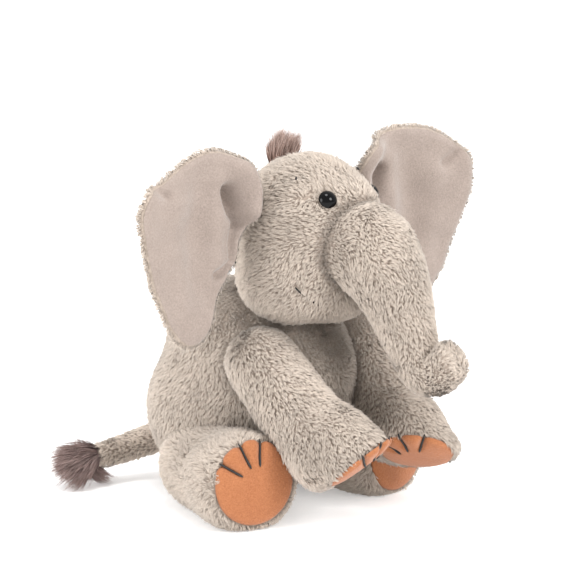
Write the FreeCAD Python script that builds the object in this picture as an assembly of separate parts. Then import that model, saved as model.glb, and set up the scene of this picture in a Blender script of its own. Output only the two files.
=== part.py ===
"""Seated plush elephant, about 22 cm tall: a sewn toy made of stuffed panels.

The toy looks along -Y, its left side is +X, and +Z is up. The origin is the middle of the flat
seat face that it sits on. Every skin is a cloth shell around its own fibre stuffing. Each limb
starts as a ball about its own seam, so that it can swing there without touching the torso.
"""
import FreeCAD, Part
import math
import os

V = FreeCAD.Vector
os.makedirs("parts", exist_ok=True)

# ---------------------------------------------------------------- driving dimensions, mm
CLOTH = 2.0            # plush with its pressed pile
GAP = 0.4              # air between two bodies at a seam that bends
THREAD = 0.45          # radius of the embroidery thread
BIG = 500.0            # side of the cutting blocks

TORSO_RADIUS = 58.0    # the belly where it is widest
TORSO_WIDEST_Z = 38.0
TORSO_TOP = 124.0
TORSO_Y = 4.0
BELLY_ROUNDING = 42.0  # radius of the underside, from the seat up to the widest part
BASE_RADIUS = 24.0     # round panel that closes the underside

HEAD_CENTRE = V(0, -34, 150)
HEAD_SIZE = V(42, 42, 46.5)
HEAD_BACK_SEAM_Y = -20.0
NECK_PIVOT = V(0, -30, 138)
NECK_REACH = 42.0      # the head's underside stays inside this ball about the pivot
NECK_RADIUS = 12.0
NECK_FOOT_Z = 84.0
NECK_PLAY = 1.0        # room around the neck inside the head
NOD_SLOPE = 0.22       # how fast the neck opening widens below the pivot

TRUNK_ROOT = V(0, -62, 150)
TRUNK_PATH = [(TRUNK_ROOT, 21.0), (V(0, -89, 137), 18.5), (V(0, -101, 118), 16.0),
              (V(0, -109, 99), 14.5)]
TRUNK_BEND = TRUNK_PATH[-1][0]
TRUNK_BEND_RADIUS = 13.2
TIP_PATH = [(TRUNK_BEND, TRUNK_BEND_RADIUS), (V(0, -116, 87), 12.5), (V(0, -126, 85), 11.2),
            (V(0, -137, 95), 10.0)]

TRUNK_SWING = (-18, 4)

EAR_MIDDLE = V(42, -30, 156)
EAR_LEAN = 6.4         # degrees that the ear seam leans in towards the crown
EAR_SEAM = (-14.0, 26.0)
EAR_BEAD = 3.6
EAR_BACK = 3.2
EAR_LINING = 1.6
EAR_HEM = 3.0
EAR_WAIST = 42.0       # how far out an ear's hem is drawn in to
EAR_PLATE_START = 1.5  # how far out an ear's plush and its lining begin
EAR_LINING_START = 6.0
EAR_SWEEP = {"left": -14.0, "right": 10.0}
EAR_OUTLINE = [(-2, 25), (8, 40), (27, 50), (46, 49.5), (64, 41.5), (77, 27), (81, 10),
               (79, -6), (71, -28), (57, -48), (43, -56), (30, -51), (20, -34), (11, -19),
               (2, -13)]

ARM_PIVOT = V(36, -36, 90)
ARM_ROOT_RADIUS = 18.5
ARM_END_RADIUS = 20.0
ARM_SOLE = {"left": V(24, -97, 38), "right": V(-29, -97, 39)}
ARM_AXIS = {"left": V(-0.6, 0, 0.8), "right": V(-0.6, 0, -0.8)}
ARM_SWING = (0, 28)

LEG_ROOT_RADIUS = 23.2
LEG_END_RADIUS = 22.6
LEG_LENGTH = 62.0
LEG_PIVOT = {"left": V(46, 3, 23.4), "right": V(-41, 5, 23.4)}
LEG_HEADING = {"left": -2.0, "right": -25.0}   # degrees from straight ahead, about +Z
LEG_SWING = {"left": (0, 16), "right": (-16, 6)}

SOLE_EDGE = 5.0        # rounding between a limb and its sole
SOLE_INSET = 2.6       # how far the sole's edge lies inside the limb's
TOE_ANGLES = (-38, 0, 38)
TOE_LENGTH = 9.0
TOE_INSET = 1.5        # from the sole's edge to the end of a toe's stitch

TAIL_PIVOT = V(-3, 61, 30)
TAIL_END = V(-43, 82, 18)
TAIL_RADII = (9.0, 7.5)
TUFT_ROOT = (V(-50, 84, 17), 11.0)
TUFT_END = (V(-66, 88.5, 16), 5.0)
TAIL_SWING = (-20, 20)

EYE_PLACE = V(18.6, -29.0, 25.0)       # from the head's middle, moved out to its surface
EYE_RADIUS = 5.0
EYE_HEIGHT = 3.4
EYE_RIM = 0.6          # height of the edge under the dome
SHANK_RADIUS = 1.5
SHANK_LENGTH = 9.0
WASHER_RADIUS = 6.5
WASHER_THICKNESS = 1.2
WASHER_PLAY = 0.9      # from the inside of the cloth to the washer
WASHER_ROOM = 0.3      # around the washer in the stuffing

SMILE = [(36, -22, -19.5), (34.5, -24, -24), (29, -27, -29.5), (22, -27, -32.5), (11, -28, -35)]
BROW = V(25, -13, 35)                  # these two also run from the head's middle
STITCH_SPACE = 0.1

PELLET_BAG_CENTRE = V(3, 27, 20)
PELLET_BAG_RADIUS = 22.0
PELLET_BAG_HALF_HEIGHT = 10.0
PELLET_BAG_CLOTH = 1.0

CROWN_TUFT_BACK = 17.0                 # how far the crown tuft sits behind the head's middle
SIDES = {"left": 1, "right": -1}
nodes = {}


# ---------------------------------------------------------------- shapes
def unit(vector):
    return V(vector).normalize()


def lathe(edges):
    """A solid turned about +Z from an outline in the XZ plane that starts and ends on the axis."""
    on_axis = [v.Point for edge in edges for v in edge.Vertexes if abs(v.X) < 1e-6]
    low, high = min(on_axis, key=lambda p: p.z), max(on_axis, key=lambda p: p.z)
    face = Part.Face(Part.Wire(Part.sortEdges(edges + [Part.makeLine(high, low)])[0]))
    return Part.Solid(face.revolve(V(0, 0, 0), V(0, 0, 1), 360))


def arc(start, middle, end):
    return Part.Arc(start, middle, end).toShape()


def egg(centre, radius, half_height):
    """A ball stretched along Z."""
    outline = Part.Ellipse(V(0, 0, half_height), V(radius, 0, 0), V(0, 0, 0))
    shape = lathe([Part.ArcOfEllipse(outline, 0, math.pi).toShape()])
    shape.translate(centre)
    return shape


def puck(centre, radius, half_height):
    """A flat round cushion with a rolled edge."""
    flat = radius - half_height
    shape = lathe([Part.makeLine(V(0, 0, -half_height), V(flat, 0, -half_height)),
                   arc(V(flat, 0, -half_height), V(radius, 0, 0), V(flat, 0, half_height)),
                   Part.makeLine(V(flat, 0, half_height), V(0, 0, half_height))])
    shape.translate(centre)
    return shape


def frame_along(direction):
    """A rotation whose Z is the direction, whose X is level and whose Y points upward."""
    level = unit(V(0, 0, 1).cross(direction))
    return FreeCAD.Rotation(level, direction.cross(level), direction, "ZXY")


def placed(shape, origin, rotation):
    moved = shape.copy()
    moved.Placement = FreeCAD.Placement(origin, rotation)
    return moved


def capsule(start, end, radius_start, radius_end):
    """Two balls and the cone that touches both."""
    length = (end - start).Length
    slope = math.asin((radius_start - radius_end) / length)
    across, along = math.cos(slope), math.sin(slope)
    low = V(radius_start * across, 0, radius_start * along)
    high = V(radius_end * across, 0, length + radius_end * along)
    low_bend = (slope - math.pi / 2) / 2
    high_bend = (slope + math.pi / 2) / 2
    edges = [
        arc(V(0, 0, -radius_start),
            V(radius_start * math.cos(low_bend), 0, radius_start * math.sin(low_bend)), low),
        Part.makeLine(low, high),
        arc(high, V(radius_end * math.cos(high_bend), 0,
                    length + radius_end * math.sin(high_bend)), V(0, 0, length + radius_end)),
    ]
    direction = unit(end - start)
    return placed(lathe(edges), start, FreeCAD.Rotation(V(0, 0, 1), direction))


def chain(path, inset=0.0):
    """Capsules joined by slightly larger balls along a path of (point, radius)."""
    slim = inset + min(0.2, path[-1][1] / 4)
    links = [capsule(a, b, ra - slim, rb - slim) for (a, ra), (b, rb) in zip(path, path[1:])]
    balls = [Part.makeSphere(radius - inset, point) for point, radius in path]
    return links[0].multiFuse(links[1:] + balls)


def swing_room(pivot, reach, radius, axis, swing):
    """A cone about a limb's mid swing that holds the limb at both ends of the swing."""
    middle = sum(swing) / 2
    spread = math.sin(math.radians(swing[1] - middle)) * reach.Length
    end = pivot + FreeCAD.Rotation(axis, middle).multVec(reach)
    return capsule(pivot, end, radius + GAP, radius + GAP + spread)


def limb(root_radius, end_radius, length, inset=0.0):
    """A stuffed limb along +Z: a ball about the origin that runs out to a flat, rounded sole."""
    root = root_radius - inset
    side = end_radius - inset
    edge = SOLE_EDGE - inset
    top = length - inset
    corner = V(side, 0, top - edge)
    angle = math.atan2(corner.z, corner.x) - math.acos(root / corner.Length)
    touch = V(root * math.cos(angle), 0, root * math.sin(angle))
    bend = (angle - math.pi / 2) / 2
    middle = V(root * math.cos(bend), 0, root * math.sin(bend))
    rim = V(side - edge, 0, top)
    diagonal = edge * math.sqrt(0.5)
    edges = [
        arc(V(0, 0, -root), middle, touch),
        Part.makeLine(touch, corner),
        arc(corner, V(side - edge + diagonal, 0, top - edge + diagonal), rim),
        Part.makeLine(rim, V(0, 0, top)),
    ]
    return lathe(edges)


def half_space(point, normal):
    block = Part.makeBox(BIG, BIG, BIG, V(-BIG / 2, -BIG / 2, 0))
    return placed(block, point, FreeCAD.Rotation(V(0, 0, 1), normal))


def split(shape, point, normal):
    """The part of a shape on the side that the normal points to, and the rest."""
    block = half_space(point, normal)
    return shape.common(block), shape.cut(block)


def keep(name, shape):
    """Write a sub-part's solids to its own file."""
    solids = [solid for solid in shape.Solids if solid.Volume > 0.05]
    result = solids[0] if len(solids) == 1 else Part.makeCompound(solids)
    result.exportStep(f"parts/{name}.step")
    nodes[name] = result
    valid = all(solid.isValid() for solid in solids)
    print(f"{name:26s} solids {len(solids)}  valid {valid}  volume {result.Volume / 1000:8.2f} cm3")


# ---------------------------------------------------------------- where the limbs bend
def limb_frames(sole, pivot):
    direction = unit(sole - pivot)
    return frame_along(direction), (sole - pivot).Length


def arm_pivot(side):
    return V(SIDES[side] * ARM_PIVOT.x, ARM_PIVOT.y, ARM_PIVOT.z)


def leg_sole(side):
    heading = math.radians(LEG_HEADING[side])
    return LEG_PIVOT[side] + V(math.sin(heading), -math.cos(heading), 0) * LEG_LENGTH


def torso_sockets():
    """Everything that the torso leaves free: the head, the limbs and the tail on their swings."""
    free = [Part.makeSphere(NECK_REACH + GAP, NECK_PIVOT)]
    bore = Part.makeCylinder(NECK_RADIUS + GAP, NECK_PIVOT.z - NECK_FOOT_Z + GAP,
                             V(NECK_PIVOT.x, NECK_PIVOT.y, NECK_FOOT_Z - GAP))
    free.append(bore)
    for side in SIDES:
        pivot = arm_pivot(side)
        free.append(swing_room(pivot, (ARM_SOLE[side] - pivot) * 0.7, ARM_ROOT_RADIUS + 1,
                               ARM_AXIS[side], ARM_SWING))
        pivot = LEG_PIVOT[side]
        free.append(swing_room(pivot, leg_sole(side) - pivot, LEG_ROOT_RADIUS, V(0, 0, 1),
                               LEG_SWING[side]))
    free.append(swing_room(TAIL_PIVOT, (TAIL_END - TAIL_PIVOT) * 0.4, TAIL_RADII[0],
                           V(0, 0, 1), TAIL_SWING))
    return free


# ---------------------------------------------------------------- torso
def torso_form(inset=0.0):
    """The pear-shaped belly with its flat seat."""
    side = TORSO_RADIUS - inset
    height = TORSO_TOP - TORSO_WIDEST_Z - inset
    rounding = BELLY_ROUNDING - inset
    middle = V(TORSO_RADIUS - BELLY_ROUNDING, 0, TORSO_WIDEST_Z)
    drop = TORSO_WIDEST_Z - inset
    seat_edge = V(middle.x + math.sqrt(rounding ** 2 - drop ** 2), 0, inset)
    angle = math.atan2(-drop, seat_edge.x - middle.x) / 2
    flank = middle + V(rounding * math.cos(angle), 0, rounding * math.sin(angle))
    waist = V(0, 0, TORSO_WIDEST_Z)
    shoulders = Part.Ellipse(waist + V(0, 0, height), waist + V(side, 0, 0), waist)
    form = lathe([Part.makeLine(V(0, 0, inset), seat_edge),
                  arc(seat_edge, flank, waist + V(side, 0, 0)),
                  Part.ArcOfEllipse(shoulders, 0, math.pi / 2).toShape()])
    form.translate(V(0, TORSO_Y, 0))
    return form


def make_torso():
    sockets = torso_sockets()
    outer = torso_form().cut(sockets)
    inner_form = torso_form(CLOTH)
    skin = outer.cut(inner_form)
    base = Part.makeCylinder(BASE_RADIUS, 2 * CLOTH, V(0, 0, -CLOTH / 2))
    keep("base_panel", skin.common(base))
    left, right = split(skin.cut(base), V(0, 0, 0), V(1, 0, 0))
    keep("body_panel_left", left)
    keep("body_panel_right", right)
    bag = puck(PELLET_BAG_CENTRE, PELLET_BAG_RADIUS, PELLET_BAG_HALF_HEIGHT)
    pellets = puck(PELLET_BAG_CENTRE, PELLET_BAG_RADIUS - PELLET_BAG_CLOTH,
                   PELLET_BAG_HALF_HEIGHT - PELLET_BAG_CLOTH)
    keep("body_stuffing", inner_form.cut(sockets + [bag]))
    keep("pellet_bag", bag.cut(pellets))
    keep("pellet_fill", pellets)


# ---------------------------------------------------------------- neck and head
def make_neck():
    column = Part.makeCylinder(NECK_RADIUS, NECK_PIVOT.z - NECK_FOOT_Z,
                               V(NECK_PIVOT.x, NECK_PIVOT.y, NECK_FOOT_Z))
    crown = Part.makeSphere(NECK_RADIUS, NECK_PIVOT)
    keep("neck_stuffing", column.fuse(crown).removeSplitter())


def head_form(inset=0.0):
    return egg(HEAD_CENTRE, HEAD_SIZE.x - inset, HEAD_SIZE.z - inset)


def on_head(offset, lift=0.0):
    """The point of the head's surface in the direction of an offset from its middle."""
    scale = math.sqrt(sum((offset[i] / HEAD_SIZE[i]) ** 2 for i in range(3)))
    point = V(offset) * (1 / scale)
    normal = unit(V(*(point[i] / HEAD_SIZE[i] ** 2 for i in range(3))))
    return HEAD_CENTRE + point + normal * lift, normal


def ear_rotation(side):
    """Axes of an ear: X runs outward along it, Y faces forward, Z runs up its seam."""
    sign = SIDES[side]
    sweep = math.radians(EAR_SWEEP[side])
    lean = math.radians(EAR_LEAN)
    seam = V(-sign * math.sin(lean), 0, math.cos(lean))
    outward = V(sign * math.cos(sweep), math.sin(sweep), 0)
    outward = unit(outward - seam * outward.dot(seam))
    return FreeCAD.Rotation(outward, seam.cross(outward), seam, "ZXY")


def ear_middle(side):
    return V(SIDES[side] * EAR_MIDDLE.x, EAR_MIDDLE.y, EAR_MIDDLE.z)


def eye_frame(side):
    place, normal = on_head(V(SIDES[side] * EYE_PLACE.x, EYE_PLACE.y, EYE_PLACE.z), 0.1)
    return place, frame_along(normal)


def head_sockets():
    """What the head leaves free: the neck as it nods, the trunk's root and the ears' seams."""
    depth = NECK_PIVOT.z - NECK_FOOT_Z + 20
    wide = NECK_RADIUS + NECK_PLAY
    free = [Part.makeSphere(wide, NECK_PIVOT),
            Part.makeCone(wide + NOD_SLOPE * depth, wide, depth, NECK_PIVOT - V(0, 0, depth))]
    free.append(swing_room(TRUNK_ROOT, TRUNK_PATH[1][0] - TRUNK_ROOT, TRUNK_PATH[0][1],
                           V(1, 0, 0), TRUNK_SWING))
    low, high = EAR_SEAM
    for side in SIDES:
        groove = Part.makeCylinder(EAR_BEAD + GAP, high - low + 2 * GAP, V(0, 0, low - GAP))
        free.append(placed(groove, ear_middle(side), ear_rotation(side)))
    return free


def make_head():
    sockets = head_sockets()
    shanks, pockets = [], []
    for side in SIDES:
        place, rotation = eye_frame(side)
        hole = Part.makeCylinder(SHANK_RADIUS + 0.2, SHANK_LENGTH + 2, V(0, 0, -SHANK_LENGTH - 1))
        pocket = Part.makeCylinder(WASHER_RADIUS + WASHER_ROOM, WASHER_THICKNESS + 2.2,
                                   V(0, 0, -CLOTH - WASHER_THICKNESS - 1.6))
        shanks.append(placed(hole, place, rotation))
        pockets.append(placed(pocket, place, rotation))
        make_eye(side, place, rotation)
    inner = head_form(CLOTH)
    skin = head_form().cut(inner).cut(sockets + shanks)
    front, back = split(skin, V(0, HEAD_BACK_SEAM_Y, 0), V(0, -1, 0))
    left, right = split(front, V(0, 0, 0), V(1, 0, 0))
    keep("face_panel_left", left)
    keep("face_panel_right", right)
    keep("head_back_panel", back)
    keep("head_stuffing", inner.cut(sockets + shanks + pockets))
    make_face_stitches()
    make_crown_tuft()


def make_eye(side, place, rotation):
    """A domed plastic eye on a shank, held from inside by a washer."""
    dome = EYE_HEIGHT - EYE_RIM
    ball = (EYE_RADIUS ** 2 + dome ** 2) / (2 * dome)
    half = math.asin(EYE_RADIUS / ball) / 2
    bulge = V(ball * math.sin(half), 0, EYE_HEIGHT - ball * (1 - math.cos(half)))
    edges = [Part.makeLine(V(0, 0, -SHANK_LENGTH), V(SHANK_RADIUS, 0, -SHANK_LENGTH)),
             Part.makeLine(V(SHANK_RADIUS, 0, -SHANK_LENGTH), V(SHANK_RADIUS, 0, 0)),
             Part.makeLine(V(SHANK_RADIUS, 0, 0), V(EYE_RADIUS, 0, 0)),
             Part.makeLine(V(EYE_RADIUS, 0, 0), V(EYE_RADIUS, 0, EYE_RIM)),
             arc(V(EYE_RADIUS, 0, EYE_RIM), bulge, V(0, 0, EYE_HEIGHT))]
    keep(f"eye_{side}", placed(lathe(edges), place, rotation))
    low = -CLOTH - WASHER_THICKNESS - WASHER_PLAY
    disc = Part.makeCylinder(WASHER_RADIUS, WASHER_THICKNESS, V(0, 0, low))
    bore = Part.makeCylinder(SHANK_RADIUS, WASHER_THICKNESS + 2, V(0, 0, low - 1))
    keep(f"eye_washer_{side}", placed(disc.cut(bore), place, rotation))


def stitches(offsets):
    """Short straight stitches, end to end over the head's surface."""
    places = [on_head(offset, THREAD + 0.35)[0] for offset in offsets]
    runs = []
    for start, end in zip(places, places[1:]):
        space = unit(end - start) * (THREAD + STITCH_SPACE)
        runs.append(capsule(start + space, end - space, THREAD, THREAD))
    return runs


def make_face_stitches():
    smile, brows = [], []
    for sign in SIDES.values():
        smile += stitches([V(sign * x, y, z) for x, y, z in SMILE])
        brows += stitches([V(sign * BROW.x, BROW.y, BROW.z + rise) for rise in (-2.0, 2.0)])
    keep("mouth_stitch", Part.makeCompound(smile))
    keep("brow_stitches", Part.makeCompound(brows))


def make_crown_tuft():
    place, normal = on_head(V(0, CROWN_TUFT_BACK, 43), 0.0)
    tuft = capsule(place + normal * 2, place + normal * 9 + V(0, 1, 0), 8.0, 4.5)
    keep("crown_tuft", tuft.cut(head_form()))


# ---------------------------------------------------------------- trunk
def make_trunk():
    seam = Part.makeSphere(TRUNK_BEND_RADIUS + GAP, TRUNK_BEND)
    along = unit(TRUNK_BEND - TRUNK_PATH[-2][0])
    beyond = half_space(TRUNK_BEND - along * 5, along)
    outer = chain(TRUNK_PATH)
    inner = chain(TRUNK_PATH, CLOTH)
    skin = outer.cut(inner).cut([seam, beyond])
    left, right = split(skin, V(0, 0, 0), V(1, 0, 0))
    keep("trunk_panel_left", left)
    keep("trunk_panel_right", right)
    keep("trunk_stuffing", inner.cut([seam, beyond]))
    tip_outer = chain(TIP_PATH)
    tip_inner = chain(TIP_PATH, CLOTH)
    left, right = split(tip_outer.cut(tip_inner), V(0, 0, 0), V(1, 0, 0))
    keep("trunk_tip_panel_left", left)
    keep("trunk_tip_panel_right", right)
    keep("trunk_tip_stuffing", tip_inner)


# ---------------------------------------------------------------- ears
def ear_sheet(hem, thickness):
    """A flat ear shape, cut smaller by a hem and as thick as asked."""
    middle = V(EAR_WAIST, 0, 0)
    points = []
    for across, up in EAR_OUTLINE:
        point = V(across, 0, up)
        points.append(point + unit(middle - point) * hem)
    curve = Part.BSplineCurve()
    curve.interpolate(points, PeriodicFlag=True)
    return Part.Face(Part.Wire(curve.toShape())).extrude(V(0, thickness, 0))


def make_ear(side):
    """Plush behind and velour in front, on a rolled seam that turns in the head's groove."""
    low, high = EAR_SEAM
    forward = -1 if ear_rotation(side).multVec(V(0, 1, 0)).y > 0 else 1
    back = ear_sheet(0.0, -forward * EAR_BACK)
    back.translate(V(0, forward * EAR_BACK / 2, 0))
    lining = ear_sheet(EAR_HEM, forward * EAR_LINING)
    lining.translate(V(0, forward * EAR_BACK / 2, 0))
    bead = Part.makeCylinder(EAR_BEAD, high - low, V(0, 0, low))
    inboard = half_space(V(EAR_PLATE_START, 0, 0), V(-1, 0, 0))
    plate = back.cut(inboard).fuse(bead).removeSplitter()
    lining = lining.cut([half_space(V(EAR_LINING_START, 0, 0), V(-1, 0, 0)), bead])
    keep(f"ear_{side}_back", placed(plate, ear_middle(side), ear_rotation(side)))
    keep(f"ear_{side}_lining", placed(lining, ear_middle(side), ear_rotation(side)))


# ---------------------------------------------------------------- arms and legs
def make_limb(name, pivot, sole, root_radius, end_radius):
    """Two skin panels, the stuffing, a velour sole and three stitched toes."""
    rotation, length = limb_frames(sole, pivot)
    outer = limb(root_radius, end_radius, length)
    inner = limb(root_radius, end_radius, length, CLOTH)
    sole_radius = end_radius - SOLE_INSET
    plug = Part.makeCylinder(sole_radius, CLOTH + 1, V(0, 0, length - CLOTH - 0.5))
    shell = outer.cut(inner)
    top, under = split(shell.cut(plug), V(0, 0, 0), V(0, 1, 0))
    toes = []
    for degrees in TOE_ANGLES:
        angle = math.radians(degrees)
        ray = V(math.sin(angle), math.cos(angle), 0)
        face = V(0, 0, length + THREAD)
        reach = sole_radius - TOE_INSET
        toes.append(capsule(ray * (reach - TOE_LENGTH) + face, ray * reach + face, THREAD, THREAD))
    pieces = {"panel_top": top, "panel_under": under, "stuffing": inner,
              "sole": shell.common(plug), "toe_stitches": Part.makeCompound(toes)}
    for part, shape in pieces.items():
        keep(f"{name}_{part}", placed(shape, pivot, rotation))


# ---------------------------------------------------------------- tail
def make_tail():
    outer = capsule(TAIL_PIVOT, TAIL_END, *TAIL_RADII)
    inner = capsule(TAIL_PIVOT, TAIL_END, *(radius - CLOTH for radius in TAIL_RADII))
    keep("tail_skin", outer.cut(inner))
    keep("tail_stuffing", inner)
    tuft = capsule(TUFT_ROOT[0], TUFT_END[0], TUFT_ROOT[1], TUFT_END[1])
    keep("tail_tuft", tuft.cut(outer))


make_torso()
make_neck()
make_head()
make_trunk()
for side in SIDES:
    make_ear(side)
    make_limb(f"arm_{side}", arm_pivot(side), ARM_SOLE[side], ARM_ROOT_RADIUS, ARM_END_RADIUS)
    make_limb(f"leg_{side}", LEG_PIVOT[side], leg_sole(side), LEG_ROOT_RADIUS, LEG_END_RADIUS)
make_tail()
whole = Part.makeCompound(list(nodes.values())).BoundBox
print(f"{len(nodes)} nodes, {whole.XLength:.1f} x {whole.YLength:.1f} x {whole.ZLength:.1f} mm,"
      f" lowest point {whole.ZMin:.2f}")
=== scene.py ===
import math

import bpy
import numpy as np
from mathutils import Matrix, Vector


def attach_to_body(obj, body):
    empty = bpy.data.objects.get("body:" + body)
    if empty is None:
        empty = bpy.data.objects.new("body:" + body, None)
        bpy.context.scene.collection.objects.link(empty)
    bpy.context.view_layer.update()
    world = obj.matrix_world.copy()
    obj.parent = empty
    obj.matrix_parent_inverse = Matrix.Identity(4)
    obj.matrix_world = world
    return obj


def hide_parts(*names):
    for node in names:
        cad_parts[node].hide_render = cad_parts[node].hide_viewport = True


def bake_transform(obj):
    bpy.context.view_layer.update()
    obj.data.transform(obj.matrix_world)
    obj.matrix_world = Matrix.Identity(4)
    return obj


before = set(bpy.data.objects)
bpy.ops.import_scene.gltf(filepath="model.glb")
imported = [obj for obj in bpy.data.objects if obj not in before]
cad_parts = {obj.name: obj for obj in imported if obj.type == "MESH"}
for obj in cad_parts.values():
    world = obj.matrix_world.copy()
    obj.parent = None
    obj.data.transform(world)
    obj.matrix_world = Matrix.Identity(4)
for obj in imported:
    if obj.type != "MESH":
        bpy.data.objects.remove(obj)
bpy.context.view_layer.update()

# Seated plush elephant. Lengths are millimetres until a mesh is made.
MM = 0.001
FLOOR_CLEAR = 0.25
SIDES = {"left": 1, "right": -1}


def row(*values):
    return np.array(values, float)


def unit(v):
    v = np.asarray(v, float)
    return v / np.maximum(np.linalg.norm(v, axis=-1, keepdims=True), 1e-9)


def dot(a, b):
    return (a * b).sum(-1)


def step_up(value, low, high):
    """0 below low, 1 above high, smooth between."""
    t = np.clip((value - low) / (high - low), 0, 1)
    return t * t * (3 - 2 * t)


def ripple(p, size, seed):
    """Smooth noise from about -1 to 1, with features of a size."""
    rng = np.random.default_rng(seed)
    waves = unit(rng.normal(size=(9, 3))) * rng.uniform(0.7, 1.4, (9, 1)) * 2 * math.pi / size
    return np.sin(p @ waves.T + rng.uniform(0, 2 * math.pi, 9)).sum(1) / 3


def swirl(p, size, seed):
    return np.stack([ripple(p, size, seed + k) for k in range(3)], 1)


def curve(rows, per, closed=False):
    """A smooth line through rows, per steps for each."""
    rows = np.array(rows, float)
    if closed:
        around = np.vstack([rows[-1:], rows, rows[:2]])
    else:
        around = np.vstack([2 * rows[0] - rows[1], rows, 2 * rows[-1] - rows[-2]])
    out = []
    for a, b, c, d in zip(around, around[1:], around[2:], around[3:]):
        for t in np.arange(per) / per:
            out.append(0.5 * (2 * b + (c - a) * t + (2 * a - 5 * b + 4 * c - d) * t * t
                              + (3 * b - a - 3 * c + d) * t ** 3))
    if not closed:
        out.append(rows[-1])
    return np.array(out)


# ---------------------------------------------------------------- distance fields
def ellipsoid(centre, size):
    centre, size = row(*centre), row(*size)

    def field(p):
        q = (p - centre) / size
        near = np.linalg.norm(q, axis=1)
        return near * (near - 1) / np.maximum(np.linalg.norm(q / size, axis=1), 1e-6)
    return field


def tube(rows, per=4):
    """Balls of changing radius along a smooth line of (x, y, z, radius)."""
    path = curve(rows, per) if per > 1 else np.array(rows, float)

    def field(p):
        best = np.full(len(p), 1e9)
        for a, b in zip(path, path[1:]):
            ab = b[:3] - a[:3]
            t = np.clip((p - a[:3]) @ ab / (ab @ ab), 0, 1)
            gap = np.linalg.norm(p - a[:3] - t[:, None] * ab, axis=1)
            best = np.minimum(best, gap - a[3] - (b[3] - a[3]) * t)
        return best
    return field


def soft_min(a, b, k):
    h = np.clip(0.5 + 0.5 * (b - a) / k, 0, 1)
    return b * (1 - h) + a * h - k * h * (1 - h)


def merged(fields, k):
    def field(p):
        out = fields[0](p)
        for other in fields[1:]:
            out = soft_min(out, other(p), k)
        return out
    return field


def cut_flat(inner, point, normal, k):
    """inner, cut off beyond a plane, with an edge rounded by k."""
    point, normal = row(*point), unit(row(*normal))
    return lambda p: -soft_min(-inner(p), -((p - point) @ normal), k)


def slope(field, p, h=0.4):
    return np.stack([field(p + h * e) - field(p - h * e) for e in np.eye(3)], 1) / (2 * h)


# ---------------------------------------------------------------- meshes
def make_object(name, points, faces, material):
    faces = np.asarray(faces)
    mesh = bpy.data.meshes.new(name)
    mesh.vertices.add(len(points))
    mesh.vertices.foreach_set("co", (np.asarray(points) * MM).astype(np.float32).ravel())
    mesh.loops.add(faces.size)
    mesh.loops.foreach_set("vertex_index", faces.astype(np.int32).ravel())
    mesh.polygons.add(len(faces))
    mesh.polygons.foreach_set("loop_start", np.arange(0, faces.size, faces.shape[1], dtype=np.int32))
    mesh.update(calc_edges=True)
    mesh.polygons.foreach_set("use_smooth", np.ones(len(faces), bool))
    mesh.materials.append(material)
    obj = bpy.data.objects.new(name, mesh)
    bpy.context.scene.collection.objects.link(obj)
    return obj


def surface(name, field, low, high, step, material):
    """The closed surface where a field is zero, as even quads."""
    axes = [np.arange(a, b + step, step) for a, b in zip(low, high)]
    grid = np.stack(np.meshgrid(*axes, indexing="ij"), -1)
    value = field(grid.reshape(-1, 3)).reshape(grid.shape[:3])
    inside = value < 0
    cells = tuple(np.array(value.shape) - 1)
    total, hits = np.zeros((*cells, 3)), np.zeros(cells)

    def at(array, corner):
        return array[tuple(slice(c, n + c) for c, n in zip(corner, cells))]
    for corner in np.ndindex(2, 2, 2):
        for axis in range(3):
            if corner[axis] == 0:
                other = tuple(1 if k == axis else c for k, c in enumerate(corner))
                a, b = at(value, corner), at(value, other)
                cross = (a < 0) != (b < 0)
                t = np.where(cross, a / np.where(cross, a - b, 1), 0)[..., None]
                point = at(grid, corner) * (1 - t) + at(grid, other) * t
                total += np.where(cross[..., None], point, 0)
                hits += cross
    used = hits > 0
    index = np.full(cells, -1)
    index[used] = np.arange(used.sum())
    points = total[used] / hits[used][:, None]
    faces = []
    for axis in range(3):
        span = [slice(1, n) for n in cells]
        span[axis] = slice(0, cells[axis])
        a = inside[tuple(span)]
        span[axis] = slice(1, cells[axis] + 1)
        b = inside[tuple(span)]
        u, v = [k for k in range(3) if k != axis]
        for back, mask in ((False, a & ~b), (True, ~a & b)):
            base = np.argwhere(mask) + [0 if k == axis else 1 for k in range(3)]
            ring = []
            for du, dv in ((0, 0), (1, 0), (1, 1), (0, 1)):
                place = base.copy()
                place[:, u] -= du
                place[:, v] -= dv
                ring.append(index[tuple(place.T)])
            quad = np.stack(ring, 1)
            faces.append(quad[:, ::-1] if back != (axis == 1) else quad)
    for _ in range(3):
        grade = slope(field, points)
        points = points - (field(points) / np.maximum(dot(grade, grade), 0.2))[:, None] * grade
    points[:, 2] = np.maximum(points[:, 2], FLOOR_CLEAR)
    return make_object(name, points, np.vstack(faces), material)


def corners(obj):
    co = np.zeros(len(obj.data.vertices) * 3, np.float32)
    obj.data.vertices.foreach_get("co", co)
    return co.reshape(-1, 3).astype(float) / MM


def set_corners(obj, points):
    obj.data.vertices.foreach_set("co", (points * MM).astype(np.float32).ravel())
    obj.data.update()


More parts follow.
